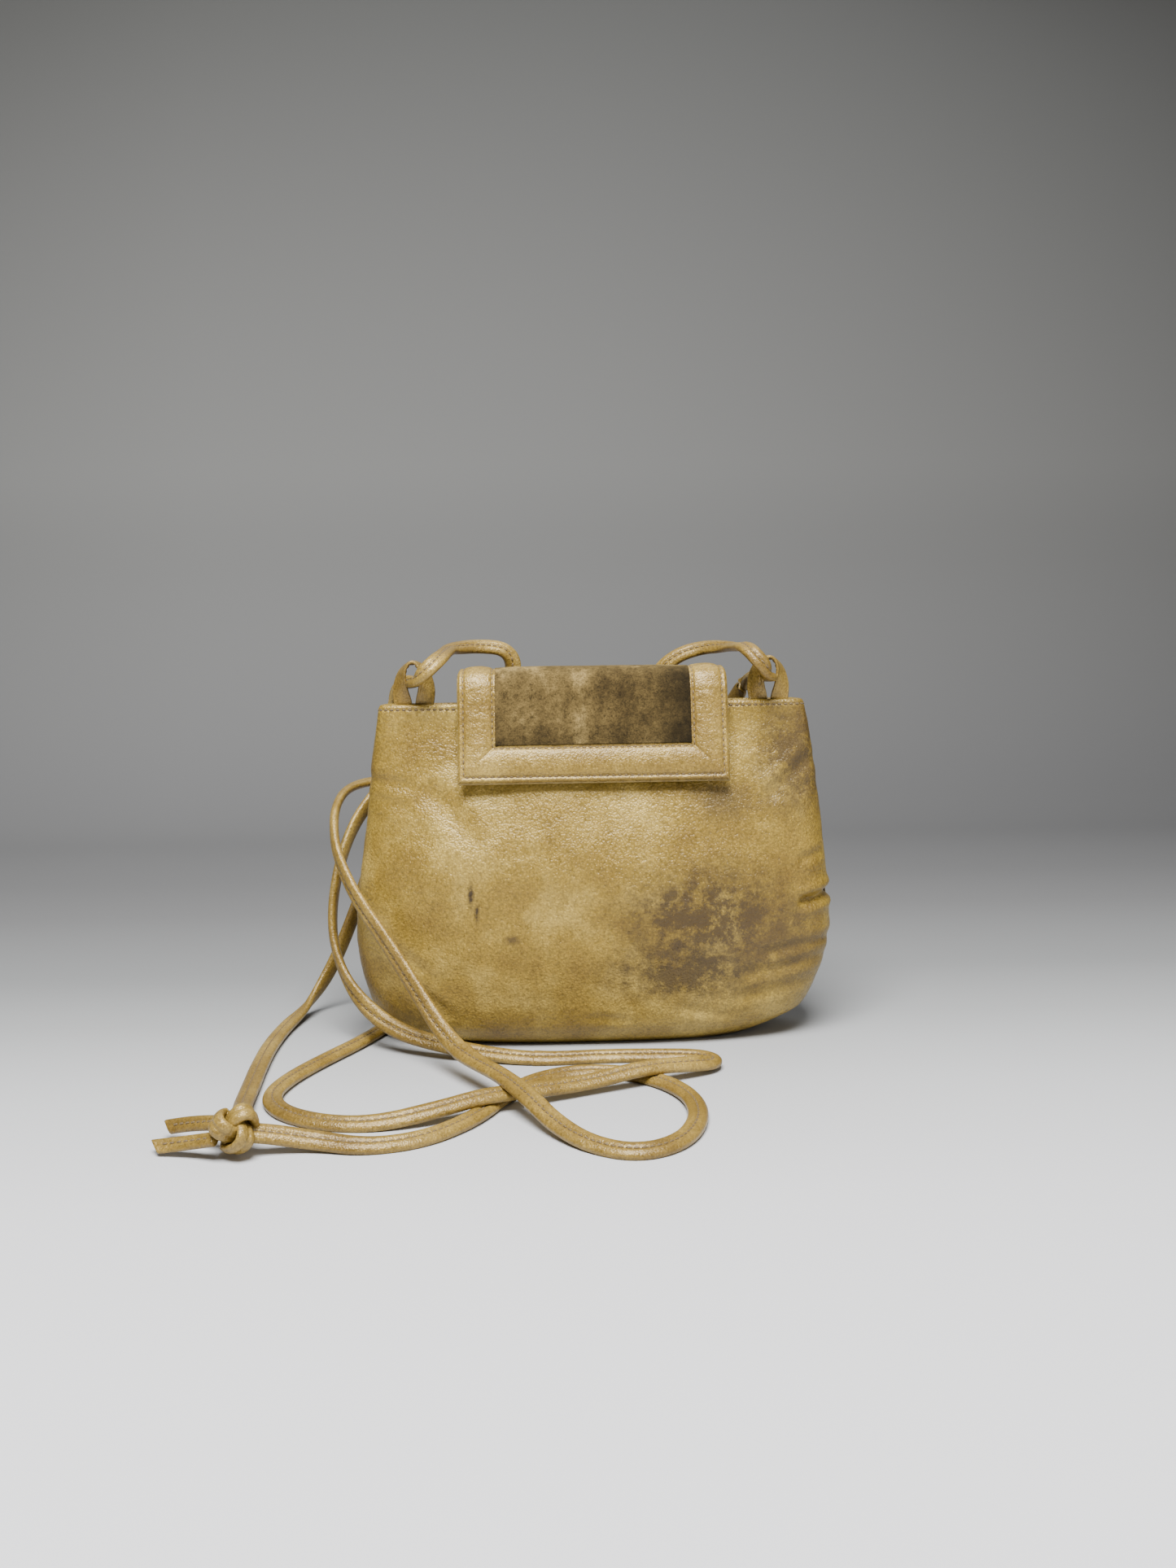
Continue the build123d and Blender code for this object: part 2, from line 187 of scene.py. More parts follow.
strapRightRoute = [
    (90, -9, 183), (89.3, 4, 184), (84, 18, 184), (79, 28, 172), (70, 43, 156),
    (50, 56, 143), (15, 64, 134), (-30, 65, 129), (-74, 62, 128), (-109, 54, 129),
    (-130, 34, 128), (-135, 10, 119), (-133, -7, 103), (-127, -18, 89),
    (-118, -29, 75), (-103, -42, 57), (-90, -52, 39), (-79, -63, 24), (-69, -76, 15),
    (-58, -92, 12), (-46, -112, 12.5), (-34, -134, 10.5), (-22, -155, 5), (-8, -172, 2.5),
    (10, -182, 2.5), (28, -171, 2.5), (38, -146, 2.5), (38, -120, 2.5),
    (29, -99, 2.5), (12, -83, 2.5), (-12, -79, 2.5), (-33, -91, 2.5),
    (-46, -114, 2.5), (-57, -140, 2.5), (-75, -161, 2.5), (-97, -168, 2.5),
    (-118, -163, 4), (-136, -165, 8), (-146, -168, 10),
]
upperTailRoute = [(-154, -163, 12), (-168, -152, 9), (-182, -147, 5)]
lowerTailRoute = [(-155, -172, 9), (-168, -165, 5), (-183, -163, 3)]

stitch = {"length": 2.1, "gap": 1.0, "thickness": 0.58}


# Small tools

def linear(hexColour):
    # Turns an sRGB hex colour into the linear one that a shader takes
    parts = [int(hexColour[i:i + 2], 16) / 255 for i in (1, 3, 5)]
    return (*[p / 12.92 if p < 0.04045 else ((p + 0.055) / 1.055) ** 2.4 for p in parts], 1.0)


def along(stations, place):
    # A smooth value between stations, each a place and its value
    if place <= stations[0][0]:
        return stations[0][1]
    for i in range(len(stations) - 1):
        low, high = stations[i], stations[i + 1]
        if place <= high[0]:
            span = high[0] - low[0]
            share = (place - low[0]) / span
            before = stations[max(i - 1, 0)]
            after = stations[min(i + 2, len(stations) - 1)]
            slopeLow = (high[1] - before[1]) / (high[0] - before[0]) * span
            slopeHigh = (after[1] - low[1]) / (after[0] - low[0]) * span
            cube, square = share ** 3, share ** 2
            return ((2 * cube - 3 * square + 1) * low[1] + (cube - 2 * square + share) * slopeLow
                    + (3 * square - 2 * cube) * high[1] + (cube - square) * slopeHigh)
    return stations[-1][1]


def ease(value):
    # A smooth step from 0 to 1
    value = min(max(value, 0.0), 1.0)
    return value * value * (3 - 2 * value)


def addNode(tree, kind, settings=None, links=None):
    # Adds a shader node, sets its values and links its inputs
    node = tree.nodes.new(kind)
    for key, value in (settings or {}).items():
        if key == "stops":
            ramp = node.color_ramp.elements
            while len(ramp) < len(value):
                ramp.new(0.5)
            for element, (place, colour) in zip(ramp, value):
                element.position = place
                element.color = colour
        elif isinstance(key, int) or key in node.inputs:
            node.inputs[key].default_value = value
        else:
            setattr(node, key, value)
    for key, source in (links or {}).items():
        tree.links.new(source, node.inputs[key])
    return node


def newMaterial(name, coordinates="Object"):
    # An empty material, its node tree and the coordinates that its patterns follow
    material = bpy.data.materials.new(name)
    material.use_nodes = True
    tree = material.node_tree
    tree.nodes.clear()
    return material, tree, addNode(tree, "ShaderNodeTexCoord").outputs[coordinates]


def coat(tree, settings, links):
    # Ends a material with its surface
    skin = addNode(tree, "ShaderNodeBsdfPrincipled", settings, links)
    addNode(tree, "ShaderNodeOutputMaterial", {}, {"Surface": skin.outputs[0]})


def finishPiece(name, bm, materials):
    # Turns a bmesh into an object with its materials
    mesh = bpy.data.meshes.new(name)
    for face in bm.faces:
        face.smooth = True
    bm.to_mesh(mesh)
    bm.free()
    for material in materials:
        mesh.materials.append(material)
    piece = bpy.data.objects.new(name, mesh)
    bpy.context.scene.collection.objects.link(piece)
    return piece


def rideOn(piece, slot, *nodes):
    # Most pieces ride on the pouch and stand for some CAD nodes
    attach(piece, "pouch")
    if nodes:
        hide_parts(*nodes)


def thicken(piece, thickness):
    shell = piece.modifiers.new("thickness", "SOLIDIFY")
    shell.thickness = thickness * mm


def gridMesh(columns, rows, place, size=(1, 1), weld=False, closeEnds=False):
    # A grid whose point at (u, v), both from 0 to 1, goes to place(u, v)
    bm = bmesh.new()
    bmesh.ops.create_grid(bm, x_segments=columns, y_segments=rows, size=0.5)
    flat = bm.loops.layers.uv.new("flat")
    for face in bm.faces:
        for loop in face.loops:
            corner = loop.vert.co
            loop[flat].uv = ((corner.x + 0.5) * size[0], (corner.y + 0.5) * size[1])
    for vert in bm.verts:
        vert.co = place(min(max(vert.co.x + 0.5, 0), 1), min(max(vert.co.y + 0.5, 0), 1))
    if weld:
        bmesh.ops.remove_doubles(bm, verts=bm.verts, dist=2e-6)
    if closeEnds:
        edges = [edge for edge in bm.edges if edge.is_boundary]
        bmesh.ops.holes_fill(bm, edges=edges, sides=0)
    bmesh.ops.recalc_face_normals(bm, faces=bm.faces)
    return bm


def curveLine(points, steps=14):
    # Points along the NURBS spline of a route that is given in millimetres
    curve = bpy.data.curves.new("route", "CURVE")
    curve.dimensions = "3D"
    spline = curve.splines.new("NURBS")
    spline.points.add(len(points) - 1)
    for control, point in zip(spline.points, points):
        control.co = (*(Vector(point) * mm), 1)
    spline.order_u = 3
    spline.use_endpoint_u = True
    spline.resolution_u = steps
    holder = bpy.data.objects.new("route", curve)
    mesh = bpy.data.meshes.new_from_object(holder)
    line = [vert.co.copy() for vert in mesh.vertices]
    bpy.data.objects.remove(holder)
    bpy.data.curves.remove(curve)
    bpy.data.meshes.remove(mesh)
    return line


def evenLine(line, spacing):
    # The same line with points at an even spacing
    total = sum((b - a).length for a, b in zip(line, line[1:]))
    count = max(int(total / spacing), 2)
    step = total / count
    result = [line[0].copy()]
    walked = 0.0
    for a, b in zip(line, line[1:]):
        run = (b - a).length
        while len(result) < count and walked + run >= step * len(result):
            result.append(a.lerp(b, (step * len(result) - walked) / run))
        walked += run
    result.append(line[-1].copy())
    return result


def tangents(line):
    # The direction of a line at each of its points
    last = len(line) - 1
    return [(line[min(i + 1, last)] - line[max(i - 1, 0)]).normalized() for i in range(last + 1)]


# One stitch, a bead that lies along X and thins towards its ends
stitchShape = bpy.data.meshes.new("stitchShape")
bead = bmesh.new()
bmesh.ops.create_uvsphere(bead, u_segments=8, v_segments=6, radius=1)
for vert in bead.verts:
    vert.co = Vector((vert.co.z, vert.co.x, vert.co.y * (1 - 0.3 * vert.co.z ** 2)))
bead.to_mesh(stitchShape)
bead.free()


def sewInto(bm, line, normals, materialIndex=0, length=stitch["length"], gap=stitch["gap"]):
    # Lays a row of stitches along a line, each pulled down at its ends
    step = (length + gap) * mm
    places = evenLine(line, step)
    spots = [(a + b) / 2 for a, b in zip(places, places[1:])]
    nearest = 0
    for index, spot in enumerate(spots):
        while (nearest < len(line) - 1
               and (line[nearest + 1] - spot).length < (line[nearest] - spot).length):
            nearest += 1
        ahead = (places[index + 1] - places[index]).normalized()
        up = normals[nearest]
        side = up.cross(ahead).normalized()
        up = ahead.cross(side)
        lean = 0.12 * noise.noise(spot * 900)
        turn = Matrix((ahead + side * lean, side - ahead * lean, up)).transposed().to_4x4()
        width = stitch["thickness"] * mm
        scale = Matrix.Diagonal((length * mm / 2, width, width * 0.8, 1))
        mesh = stitchShape.copy()
        mesh.transform(Matrix.Translation(spot) @ turn @ scale)
        start = len(bm.faces)
        bm.from_mesh(mesh)
        bpy.data.meshes.remove(mesh)
        bm.faces.ensure_lookup_table()
        for face in bm.faces[start:]:
            face.material_index = materialIndex


# Materials

def leatherMaterial(name, tones, grain=1.15, bump=0.26, stainsAndShade=(), wear=0.5):
    # Nappa leather: a soft pebbled grain with a satin, slightly pearly finish and rubbed patches.
    # The grain is drawn a little coarser than the real 0.8 mm, so that it shows.
    dark, middle, light = tones
    material, tree, place = newMaterial(name)
    warp = addNode(tree, "ShaderNodeTexNoise", {"Scale": 260, "Detail": 3}, {"Vector": place})
    bent = addNode(tree, "ShaderNodeMixRGB", {"blend_type": "ADD", 0: 0.0012},
                   {1: place, 2: warp.outputs["Color"]})
    cells = addNode(tree, "ShaderNodeTexVoronoi", {"Scale": 1000 / grain, "feature": "F1"},
                    {"Vector": bent.outputs[0]})
    creases = addNode(tree, "ShaderNodeTexNoise", {"Scale": 420, "Detail": 5, "Distortion": 1.2},
                      {"Vector": place})
    cloud = addNode(tree, "ShaderNodeTexNoise", {"Scale": 28, "Detail": 5, "Roughness": 0.6},
                    {"Vector": place})
    fine = addNode(tree, "ShaderNodeTexNoise", {"Scale": 650, "Detail": 4, "Roughness": 0.7},
                   {"Vector": place})
    tone = addNode(tree, "ShaderNodeValToRGB",
                   {"stops": [(0.28, linear(dark)), (0.5, linear(middle)), (0.75, linear(light))]},
                   {0: cloud.outputs["Fac"]})
    speck = addNode(tree, "ShaderNodeMapRange", {1: 0.32, 2: 0.68, 3: 0.68, 4: 1.18},
                    {0: fine.outputs["Fac"]})
    valleys = addNode(tree, "ShaderNodeMapRange", {1: 0.2, 2: 0.8, 3: 1.04, 4: 0.74},
                      {0: cells.outputs["Distance"]})
    shade = addNode(tree, "ShaderNodeMath", {"operation": "MULTIPLY"},
                    {0: speck.outputs[0], 1: valleys.outputs[0]})
    colour = addNode(tree, "ShaderNodeMixRGB", {"blend_type": "MULTIPLY", 0: 1.0},
                     {1: tone.outputs[0], 2: shade.outputs[0]}).outputs[0]
    roughBase = addNode(tree, "ShaderNodeMapRange", {1: 0.3, 2: 0.7, 3: 0.25, 4: 0.42},
                        {0: fine.outputs["Fac"]}).outputs[0]
    ragged = addNode(tree, "ShaderNodeTexNoise", {"Scale": 130, "Detail": 8, "Roughness": 0.8},
                     {"Vector": place})
    patchy = addNode(tree, "ShaderNodeMapRange", {1: 0.36, 2: 0.62, 3: 0.12, 4: 1.0},
                     {0: ragged.outputs["Fac"]})
    # Each dark mark mixes its tone into the leather: stains, and on the body some painted shade
    for centre, radii, strength, stainAndShadeTone in stainsAndShade:
        spot = addNode(tree, "ShaderNodeMapping",
                       {"vector_type": "TEXTURE", "Location": [c * mm for c in centre],
                                                   "Scale": [r * mm for r in radii]}, {"Vector": place})
        ball = addNode(tree, "ShaderNodeTexGradient", {"gradient_type": "SPHERICAL"},
                       {"Vector": spot.outputs[0]})
        broken = addNode(tree, "ShaderNodeMath", {"operation": "MULTIPLY"},
                         {0: ball.outputs["Fac"], 1: patchy.outputs[0]})
        mask = addNode(tree, "ShaderNodeMapRange", {1: 0.03, 2: 0.46, 3: 0.0, 4: strength},
                       {0: broken.outputs[0]})
        colour = addNode(tree, "ShaderNodeMixRGB", {2: linear(stainAndShadeTone)},
                         {0: mask.outputs[0], 1: colour}).outputs[0]
    rubbed = addNode(tree, "ShaderNodeTexNoise", {"Scale": 48, "Detail": 9, "Roughness": 0.78},
                     {"Vector": place})
    rub = addNode(tree, "ShaderNodeMapRange", {1: 0.58, 2: 0.74, 3: 0.0, 4: wear * 0.7},
                  {0: rubbed.outputs["Fac"]})
    colour = addNode(tree, "ShaderNodeMixRGB", {2: linear("#6A5430")},
                     {0: rub.outputs[0], 1: colour}).outputs[0]
    high = addNode(tree, "ShaderNodeMath", {"operation": "MULTIPLY_ADD", 1: -1.0},
                   {0: cells.outputs["Distance"], 2: fine.outputs["Fac"]})
    relief = addNode(tree, "ShaderNodeBump", {"Strength": 0.8, "Distance": bump * mm},
                     {"Height": high.outputs[0]})
    soft = addNode(tree, "ShaderNodeBump", {"Strength": 0.6, "Distance": 0.5 * mm},
                   {"Height": creases.outputs["Fac"], "Normal": relief.outputs[0]})
    coat(tree, {"Metallic": 0.15, "Specular IOR Level": 0.5},
         {"Base Color": colour, "Roughness": roughBase, "Normal": soft.outputs[0]})
    return material


def suedeMaterial(name, tones):
    # Split suede: a short brushed nap, with flattened darker strokes and pale worn patches, and painted
    # shade that darkens it towards its right side and its foot
    dark, middle, pale = tones
    material, tree, place = newMaterial(name)
    long = addNode(tree, "ShaderNodeMapping", {"Rotation": (0, 0.35, 0), "Scale": (1.0, 1.0, 0.5)},
                   {"Vector": place})
    brushed = addNode(tree, "ShaderNodeTexNoise", {"Scale": 34, "Detail": 4, "Roughness": 0.6},
                      {"Vector": long.outputs[0]})
    tone = addNode(tree, "ShaderNodeValToRGB",
                   {"stops": [(0.36, linear(dark)), (0.52, linear(middle)), (0.72, linear(pale))]},
                   {0: brushed.outputs["Fac"]})
    nap = addNode(tree, "ShaderNodeTexNoise", {"Scale": 1100, "Detail": 4, "Roughness": 0.8},
                  {"Vector": place})
    tufts = addNode(tree, "ShaderNodeTexNoise", {"Scale": 330, "Detail": 3, "Roughness": 0.7},
                    {"Vector": place})
    both = addNode(tree, "ShaderNodeMath", {"operation": "MULTIPLY_ADD", 1: 0.6},
                   {0: tufts.outputs["Fac"], 2: nap.outputs["Fac"]})
    fibre = addNode(tree, "ShaderNodeMapRange", {1: 0.6, 2: 1.0, 3: 0.35, 4: 1.7}, {0: both.outputs[0]})
    split = addNode(tree, "ShaderNodeSeparateXYZ", {}, {0: place})
    # Painted shade: the suede is darker towards its right side and towards its foot
    right = addNode(tree, "ShaderNodeMapRange", {1: 0.014, 2: 0.046, 3: 1.0, 4: 0.45},
                    {0: split.outputs["X"]})
    foot = addNode(tree, "ShaderNodeMapRange", {1: 0.152, 2: 0.166, 3: 0.62, 4: 1.0},
                   {0: split.outputs["Z"]})
    paintedShade = addNode(tree, "ShaderNodeMath", {"operation": "MULTIPLY"},
                   {0: right.outputs[0], 1: foot.outputs[0]})
    deep = addNode(tree, "ShaderNodeMath", {"operation": "MULTIPLY"},
                   {0: paintedShade.outputs[0], 1: fibre.outputs[0]})
    colour = addNode(tree, "ShaderNodeMixRGB", {"blend_type": "MULTIPLY", 0: 1.0},
                     {1: tone.outputs[0], 2: deep.outputs[0]})
    relief = addNode(tree, "ShaderNodeBump", {"Strength": 0.9, "Distance": 0.35 * mm},
                     {"Height": both.outputs[0]})
    coat(tree, {"Roughness": 0.92, "Specular IOR Level": 0.15, "Sheen Weight": 0.25, "Sheen Roughness": 0.5,
         "Sheen Tint": linear("#C9B070")},
         {"Base Color": colour.outputs[0], "Normal": relief.outputs[0]})
    return material


def threadMaterial(name, tone):
    # Twisted sewing thread with a little sheen
    material, tree, place = newMaterial(name)
    twist = addNode(tree, "ShaderNodeTexWave",
                    {"Scale": 900, "Distortion": 1.5, "bands_direction": "DIAGONAL"},
                    {"Vector": place})
    colour = addNode(tree, "ShaderNodeValToRGB", {"stops": [(0.2, linear("#3E2F17")), (0.8, linear(tone))]},
                     {0: twist.outputs["Fac"]})
    relief = addNode(tree, "ShaderNodeBump", {"Strength": 0.4, "Distance": 0.08 * mm},
                     {"Height": twist.outputs["Fac"]})
    coat(tree, {"Roughness": 0.55, "Sheen Weight": 0.2},
         {"Base Color": colour.outputs[0], "Normal": relief.outputs[0]})
    return material


def clothMaterial(name, tone, threadSize=0.45):
    # Plain woven cotton: crossed threads with a dusty, matte finish
    material, tree, place = newMaterial(name)
    scale = 1000 / threadSize / (2 * math.pi)
    threads = []
    for direction in ("X", "Z"):
        settings = {"Scale": scale, "Distortion": 0.6, "bands_direction": direction}
        threads.append(addNode(tree, "ShaderNodeTexWave", settings, {"Vector": place}))
    weave = addNode(tree, "ShaderNodeMath", {"operation": "MAXIMUM"},
                    {0: threads[0].outputs["Fac"], 1: threads[1].outputs["Fac"]})
    dust = addNode(tree, "ShaderNodeTexNoise", {"Scale": 60, "Detail": 5}, {"Vector": place})
    shade = addNode(tree, "ShaderNodeMapRange", {1: 0.3, 2: 0.7, 3: 0.8, 4: 1.05}, {0: dust.outputs["Fac"]})
    colour = addNode(tree, "ShaderNodeMixRGB", {"blend_type": "MULTIPLY", 0: 1.0, 1: linear(tone)},
                     {2: shade.outputs[0]})
    relief = addNode(tree, "ShaderNodeBump", {"Strength": 0.5, "Distance": 0.12 * mm},
                     {"Height": weave.outputs[0]})
    coat(tree, {"Roughness": 0.85, "Sheen Weight": 0.2},
         {"Base Color": colour.outputs[0], "Normal": relief.outputs[0]})
    return material


def metalMaterial(name, tone):
    # Plated snap metal with small scratches
    material, tree, place = newMaterial(name)
    scratches = addNode(tree, "ShaderNodeTexNoise", {"Scale": 900, "Detail": 6, "Distortion": 2},
                        {"Vector": place})
    rough = addNode(tree, "ShaderNodeMapRange", {1: 0.3, 2: 0.7, 3: 0.22, 4: 0.45},
                    {0: scratches.outputs["Fac"]})
    coat(tree, {"Base Color": linear(tone), "Metallic": 1.0},
         {"Roughness": rough.outputs[0]})
    return material


def plainMaterial(name, low, high, rough=0.9, size=8.0):
    # A matte surface with slow, faint changes of tone
    material, tree, place = newMaterial(name)
    cloud = addNode(tree, "ShaderNodeTexNoise", {"Scale": size, "Detail": 3}, {"Vector": place})
    tone = addNode(tree, "ShaderNodeValToRGB", {"stops": [(0.3, linear(low)), (0.7, linear(high))]},
                   {0: cloud.outputs["Fac"]})
    coat(tree, {"Roughness": rough, "Specular IOR Level": 0.25},
         {"Base Color": tone.outputs[0]})
    return material


# Stains and painted shade on the front, each its middle, its reach each way, its strength and its tone
bodyStainsAndShade = [
    ((55, -38, 66), (60, 60, 36), 0.92, "#45361F"),
    ((42, -38, 38), (54, 60, 20), 0.84, "#42341E"),
    ((92, -38, 52), (40, 60, 26), 0.68, "#503F25"),
    # Partly a stain and partly painted shade: a broad darkening of the right top of the front
    ((102, -22, 143), (30, 60, 40), 0.85, "#4C3C23"),
    ((66, -30, 122), (24, 60, 14), 0.62, "#524227"),
    # Painted shade: these two narrow upright marks darken the dent on the left, where shade falls
    ((-62, -38, 78), (2.2, 60, 9), 1.0, "#3E311D"),
    ((-59, -38, 70), (2.0, 60, 7), 1.0, "#3E311D"),
    ((-42, -38, 56), (6, 60, 3), 0.80, "#4A3B24"),
    ((112, 0, 26), (30, 60, 22), 0.50, "#55462C"),
]
# Each leather's tones run from its shaded to its rubbed parts
champagne = ("#7C6125", "#9B7F33", "#C6A957")
bodyLeather = leatherMaterial("champagneNappa", champagne, stainsAndShade=bodyStainsAndShade, wear=0.4)
borderLeather = leatherMaterial("champagneNappaBorder", ("#7E632B", "#9A7E38", "#BEA154"),
                                grain=1.0, bump=0.2, wear=0.5)
strapLeather = leatherMaterial("champagneNappaStrap", ("#755B26", "#947836", "#B89B51"),
                               grain=0.8, bump=0.16, wear=0.35)
facingLeather = leatherMaterial("champagneNappaFacing", ("#7E6834", "#9A8144", "#B59B5A"),
                                grain=1.0, bump=0.2, wear=0.3)
suede = suedeMaterial("brownSplitSuede", ("#352A15", "#5C4C2B", "#9F8856"))
# The thread's own tan, darkened with painted shade so that the stitch rows read as the shaded dashes
# between stitches
thread = threadMaterial("tanThread", "#7A6234")
liningCloth = clothMaterial("tanCottonLining", "#8F7B50")
brass = metalMaterial("antiqueBrass", "#B08D57")
board = plainMaterial("pressedBoard", "#8A7A5C", "#A08F6E", size=300)
print("materials made")


# The stage and the light

def lookFrom(place, pitch, turn, roll, lens):
    # The camera, with its angles in degrees: down, to the right and round its own axis
    data = bpy.data.cameras.new("camera")
    data.lens = lens
    data.sensor_width = 36
    data.clip_start = 0.01
    camera = bpy.data.objects.new("camera", data)
    turned = Matrix.Rotation(-math.radians(turn), 4, "Z")
    tilted = Matrix.Rotation(math.pi / 2 - math.radians(pitch), 4, "X")
    rolled = Matrix.Rotation(math.radians(roll), 4, "Z")
    camera.matrix_world = Matrix.Translation(Vector(place) * mm) @ turned @ tilted @ rolled
    bpy.context.scene.collection.objects.link(camera)
    bpy.context.scene.camera = camera


def makeStage():
    # A pale floor that curves up into a grey backdrop, with painted shade that darkens it upward and to the
    # right
    def sweepUp(u, v):
        across = (u - 0.5) * 6.0
        walked = v * 5.0 - 1.6
        start, radius = 0.75, 0.35
        if walked < start:
            return Vector((across, walked, 0))
        turn = min((walked - start) / radius, math.pi / 2)
        above = max(walked - start - radius * math.pi / 2, 0)
        return Vector((across, start + radius * math.sin(turn), radius * (1 - math.cos(turn)) + above))
    material, tree, place = newMaterial("paperSweep", "UV")
    flat = addNode(tree, "ShaderNodeSeparateXYZ", {}, {0: place})
    tone = addNode(tree, "ShaderNodeValToRGB",
                   {"stops": [(at, linear(grey)) for at, grey in stage["tones"]]},
                   {0: flat.outputs["Y"]})
    # Painted shade: the right side is darker, most of all on the backdrop
    side = addNode(tree, "ShaderNodeMapRange", {1: 0.42, 2: 0.64, 3: 1.0, 4: 0.66}, {0: flat.outputs["X"]})
    back = addNode(tree, "ShaderNodeMapRange", {1: 0.34, 2: 0.50, 3: 0.15, 4: 1.0}, {0: flat.outputs["Y"]})
    colour = addNode(tree, "ShaderNodeMixRGB", {"blend_type": "MULTIPLY"},
                     {0: back.outputs[0], 1: tone.outputs[0], 2: side.outputs[0]})
    coat(tree, {"Roughness": 0.8, "Specular IOR Level": 0.2},
         {"Base Color": colour.outputs[0]})
    bm = gridMesh(2, 120, sweepUp)
    for face in bm.faces:
        if face.normal.z < 0 or (abs(face.normal.z) < 1e-3 and face.normal.y > 0):
            face.normal_flip()
    finishPiece("floor", bm, [material])


def addLight(name, place, aim, size, power, tone):
    data = bpy.data.lights.new(name, "AREA")
    data.shape = "RECTANGLE"
    data.size, data.size_y = size
    data.energy = power
    data.color = linear(tone)[:3]
    light = bpy.data.objects.new(name, data)
    light.location = place
    light.rotation_euler = (Vector(aim) - Vector(place)).to_track_quat("-Z", "Y").to_euler()
    bpy.context.scene.collection.objects.link(light)


lookFrom(**view)
makeStage()
for name, values in lights.items():
    addLight(name, *values)
world = bpy.data.worlds.new("studio")
world.use_nodes = True
air = world.node_tree.nodes["Background"]
air.inputs["Color"].default_value = linear(stage["air"])
air.inputs["Strength"].default_value = stage["airStrength"]
bpy.context.scene.world = world
print("stage set")


# The pouch

def halfWidth(height, side):
    return along(pouch["rightWidths"] if side > 0 else pouch["leftWidths"], height)


def outline(angle, height, inset=0.0):
    # A point of the pouch's outline at a height, drawn in by inset, in millimetres
    power = 2 / along(pouch["squareness"], height)
    c, s = math.cos(angle), math.sin(angle)
    wide = halfWidth(height, c) - inset
    deep = along(pouch["depths"], height) - inset
    x, y = math.copysign(abs(c) ** power, c), math.copysign(abs(s) ** power, s)
    return Vector((x * wide, y * deep, height))


def foldDepth(x, z):
    # How far the front folds in at a place on the face
    total = 0.0
    for (x0, z0), (x1, z1), depth, width in frontFolds:
        run = Vector((x1 - x0, z1 - z0))
        reach = Vector((x - x0, z - z0))
        share = reach.dot(run) / run.length_squared
        if -0.3 < share < 1.3:
            off = (reach - run * min(max(share, 0), 1)).length / width
            fade = ease(min(share + 0.3, 1.3 - share) / 0.5)
            total += depth * fade * (math.exp(-off * off) - 0.45 * math.exp(-(off - 2.0) ** 2))
    return total


def crumple(point):
    # Slow sags and small crumples, in millimetres outward
    slow = noise.noise(Vector((point.x * 0.018, point.y * 0.03, point.z * 0.024 + 3)))
    small = noise.noise(Vector((point.x * 0.07, point.y * 0.09 + 7, point.z * 0.10)))
    tiny = noise.noise(Vector((point.x * 0.22, point.y * 0.22, point.z * 0.30 + 11)))
    return pouch["sag"] * slow + pouch["crumple"] * small + 0.12 * tiny


def awayFrom(point, deep):
    # The outward direction on an oval that is 120 wide and deep each way from its middle
    return Vector((point.x / 120 ** 2, point.y / deep ** 2, 0)).normalized()


def wallPoint(angle, height, inset=0.0):
    # A point of the pouch's wall with its folds, in millimetres
    point = outline(angle, height, inset)
    out = awayFrom(point, 38)
    push = ease(height / 25) * ease((rimTop - height) / 14) * crumple(point)
    if point.y < 0:
        push -= foldDepth(point.x, height) * ease(height / 6) * ease(-point.y / 8 + 0.6)
    push -= 0.9 * math.exp(-(abs(math.sin(angle)) / 0.012) ** 2) * ease(height / 10)
    push -= 0.3 * math.exp(-((height - rimTop + pouch["stitchDrop"]) / 0.7) ** 2)
    return point + out * push


def crowded(u):
    # Columns crowd towards the side seams, so their grooves are crisp
    return 2 * math.pi * (u + 0.045 * math.sin(4 * math.pi * u))


def pouchPoint(u, v):
    # The pouch's skin: up from the middle of the base, over the rim and down inside it
    angle = crowded(u)
    roll, shoulder = pouch["rimRoll"], pouch["shoulder"]
    baseEnd, wallEnd, shoulderEnd, rimEnd = pouch["bands"]
    rim = rimTop - roll
    if v < baseEnd:
        share = 0.02 + 0.98 * (v / baseEnd)
        point = outline(angle, 0.0) * share
        point.z = 0.6 * (1 - share) ** 0.5
        return point * mm
    if v < wallEnd:
        return wallPoint(angle, shoulder * ((v - baseEnd) / (wallEnd - baseEnd)) ** 1.12) * mm
    if v < shoulderEnd:
        share = (v - wallEnd) / (shoulderEnd - wallEnd)
        return wallPoint(angle, shoulder + (rim - shoulder) * share) * mm
    if v < rimEnd:
        turn = math.pi * (v - shoulderEnd) / (rimEnd - shoulderEnd)
        point = outline(angle, rimTop, roll * (1 - math.cos(turn)))
        point.z = rim + roll * math.sin(turn)
        return point * mm
    depth = pouch["facing"] * (v - rimEnd) / (1 - rimEnd)
    return outline(angle, rim - depth, 2 * roll) * mm


def makePouch():
    bm = gridMesh(pouch["columns"], pouch["rows"], pouchPoint, pouch["clothSize"], weld=True)
    flat = bm.loops.layers.uv["flat"]
    facingStart = 0.93 * pouch["clothSize"][1]
    for face in bm.faces:
        face.material_index = 1 if face.loops[0][flat].uv.y > facingStart else 0
    seamHeight = rimTop - pouch["stitchDrop"]
    for start in (0.0, math.pi):
        angles = [start + math.pi * (0.02 + 0.96 * i / 500) for i in range(501)]
        line = [(wallPoint(angle, seamHeight) + 0.25 * outline(angle, 0).normalized()) * mm
                for angle in angles]
        normals = [awayFrom(point, 15) for point in line]
        sewInto(bm, line, normals, 2)
    piece = finishPiece("pouchLeather", bm, [bodyLeather, facingLeather, thread])
    rideOn(piece, "champagne_leather", "front_panel", "back_panel", "base_panel", "front_facing",
           "back_facing", "front_rim_stiffener", "back_rim_stiffener")


